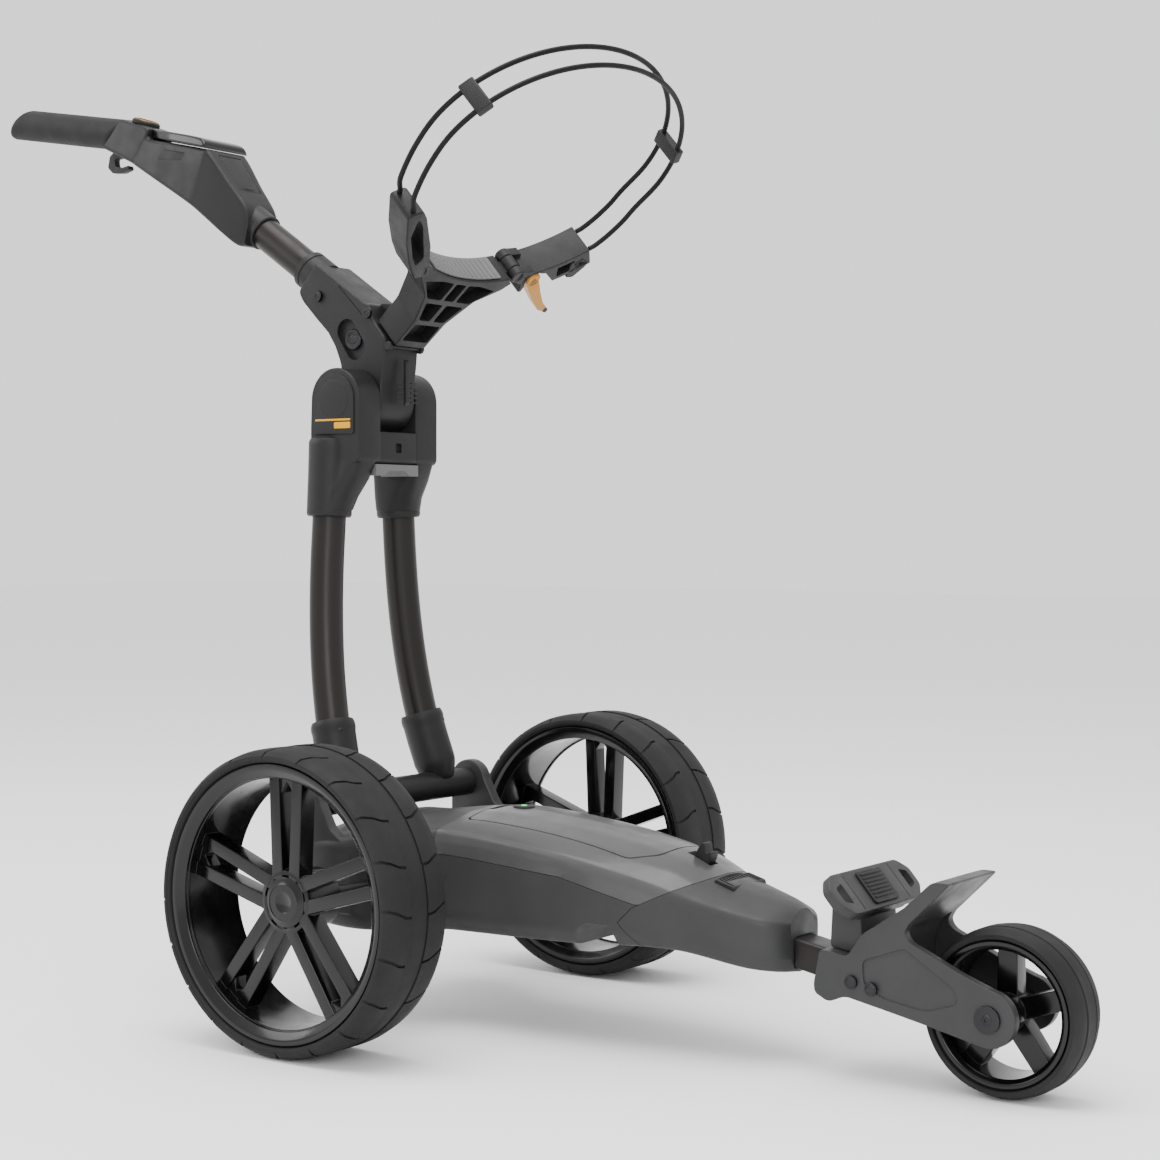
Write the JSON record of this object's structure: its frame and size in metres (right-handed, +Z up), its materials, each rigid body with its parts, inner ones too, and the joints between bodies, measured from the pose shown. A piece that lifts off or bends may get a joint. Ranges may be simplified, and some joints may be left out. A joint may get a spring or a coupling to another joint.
{
  "type": "golf trolley",
  "caption": "Electric three-wheeled golf trolley with a folding frame, a lift-out battery in a grey chassis, a hooped bag cradle and one handle with a console.",
  "frame": {"origin": "on the ground under the middle of the bounding box; the rear axle is at X 0, Z 0.145 and the trolley's middle plane is Y 0", "axes": "+X forwards, from the handle to the front wheel; +Y to the trolley's left; +Z up"},
  "size_m": [1.3734, 0.577, 0.9944],
  "materials": {
    "deck_grey": "satin moulded shell",
    "shell_grey": "fine-grained moulded shell",
    "charcoal_plastic": "fine-grained moulding",
    "anodised_tube": "dark brown satin anodised tube",
    "rim_black": "gloss black moulding",
    "tyre_rubber": "matte charcoal rubber",
    "liner_rubber": "grey soft rubber",
    "bright_steel": "dark plated steel",
    "gold_plastic": "satin gold lever",
    "cord_rubber": "smooth dark cord",
    "grip_foam": "soft dark foam"
  },
  "bodies": {
    "chassis": {"lower_chassis": "shell_grey", "top_shell": "deck_grey", "nose_cover": "shell_grey", "vent_grille": "charcoal_plastic", "drive_cover": "charcoal_plastic", "gearbox_housing": "charcoal_plastic", "drive_motor": "bright_steel", "right_axle_bearing": "bright_steel", "left_axle_bearing": "bright_steel", "front_tube": "anodised_tube", "front_fork": "shell_grey", "fork_bolt_rear": "bright_steel", "fork_bolt_front": "bright_steel", "front_axle": "bright_steel", "bag_rest": "shell_grey", "bag_rest_pad": "liner_rubber", "right_pivot_bolt": "bright_steel", "left_pivot_bolt": "bright_steel"},
    "battery": {"battery": "deck_grey"},
    "power_button": {"power_button": "charcoal_plastic"},
    "fold_catch": {"fold_catch": "charcoal_plastic"},
    "legs": {"leg_base": "charcoal_plastic", "right_leg_tube": "anodised_tube", "left_leg_tube": "anodised_tube", "yoke": "charcoal_plastic", "yoke_liner": "liner_rubber", "right_yoke_cap": "charcoal_plastic", "left_yoke_cap": "charcoal_plastic", "head_pivot_pin": "bright_steel"},
    "head": {"head_shell": "charcoal_plastic", "head_clamp_bolt": "bright_steel", "tension_bolt": "bright_steel", "mast_tube": "anodised_tube", "console_housing": "charcoal_plastic", "console_lid": "rim_black", "grip": "grip_foam", "upper_cradle": "charcoal_plastic", "cradle_liner": "liner_rubber", "cradle_pivot_bolt": "bright_steel"},
    "port_flap": {"port_flap": "charcoal_plastic"},
    "speed_dial": {"speed_dial": "charcoal_plastic"},
    "fold_lever": {"fold_lever": "charcoal_plastic"},
    "strap": {"strap_housing": "charcoal_plastic", "strap_hinge_pin": "bright_steel", "lower_cord": "cord_rubber", "upper_cord": "cord_rubber", "right_cord_clip": "charcoal_plastic", "left_cord_clip": "charcoal_plastic"},
    "strap_lever": {"strap_lever": "gold_plastic"},
    "right_wheel": {"right_tyre": "tyre_rubber", "right_rim": "rim_black", "right_hub_cap": "rim_black", "right_axle": "bright_steel"},
    "left_wheel": {"left_tyre": "tyre_rubber", "left_rim": "rim_black", "left_hub_cap": "rim_black", "left_axle": "bright_steel"},
    "front_wheel": {"front_tyre": "tyre_rubber", "front_rim": "rim_black"}
  },
  "joints": [
    {"name": "legs_fold", "type": "hinge", "parent": "chassis", "child": "legs", "pos_m": [-0.095, 0, 0.217], "axis": [0, 1, 0], "range_deg": [0, 90]},
    {"name": "head_fold", "type": "hinge", "parent": "legs", "child": "head", "pos_m": [-0.119, 0, 0.628], "axis": [0, 1, 0], "range_deg": [-120, 0]},
    {"name": "lever_release", "type": "hinge", "parent": "head", "child": "fold_lever", "pos_m": [-0.0785, 0, 0.684], "axis": [0, -1, 0], "range_deg": [0, 30], "stiffness_Nm_per_rad": 0.05, "springref_deg": -14.9},
    {"name": "battery_lift", "type": "slide", "parent": "chassis", "child": "battery", "axis": [0, 0, -1], "range_m": [-0.12, 0]},
    {"name": "power_press", "type": "slide", "parent": "battery", "child": "power_button", "axis": [0, 0, -1], "range_m": [0, 0.0015], "stiffness_N_per_m": 500, "springref_m": -0.001},
    {"name": "catch_tip", "type": "hinge", "parent": "chassis", "child": "fold_catch", "pos_m": [0.294, 0, 0.171], "axis": [0, 1, 0], "range_deg": [-20, 0], "stiffness_Nm_per_rad": 0.05, "springref_deg": 14.9},
    {"name": "right_roll", "type": "hinge", "parent": "chassis", "child": "right_wheel", "pos_m": [0, -0.2435, 0.145], "axis": [0, 1, 0], "continuous": true},
    {"name": "left_roll", "type": "hinge", "parent": "chassis", "child": "left_wheel", "pos_m": [0, 0.2435, 0.145], "axis": [0, 1, 0], "continuous": true},
    {"name": "front_roll", "type": "hinge", "parent": "chassis", "child": "front_wheel", "pos_m": [0.6117, 0, 0.075], "axis": [0, 1, 0], "continuous": true},
    {"name": "strap_swing", "type": "hinge", "parent": "head", "child": "strap", "pos_m": [0.00254, 0.075, 0.77193], "axis": [0.6551, 0, -0.7555], "range_deg": [-45, 0]},
    {"name": "strap_toggle", "type": "hinge", "parent": "strap", "child": "strap_lever", "pos_m": [0.00693, 0.104, 0.76382], "axis": [-0.6551, 0, 0.7555], "range_deg": [0, 30]},
    {"name": "flap_open", "type": "hinge", "parent": "head", "child": "port_flap", "pos_m": [-0.33107, 0, 0.90446], "axis": [0, -1, 0], "range_deg": [0, 80]},
    {"name": "dial_turn", "type": "hinge", "parent": "head", "child": "speed_dial", "pos_m": [-0.464, 0, 0.95595], "axis": [0.3173, 0, 0.9483], "continuous": true}
  ],
  "couplings": [
    {"joint": "head_fold", "follows": "legs_fold", "ratio": -1.3333}
  ]
}
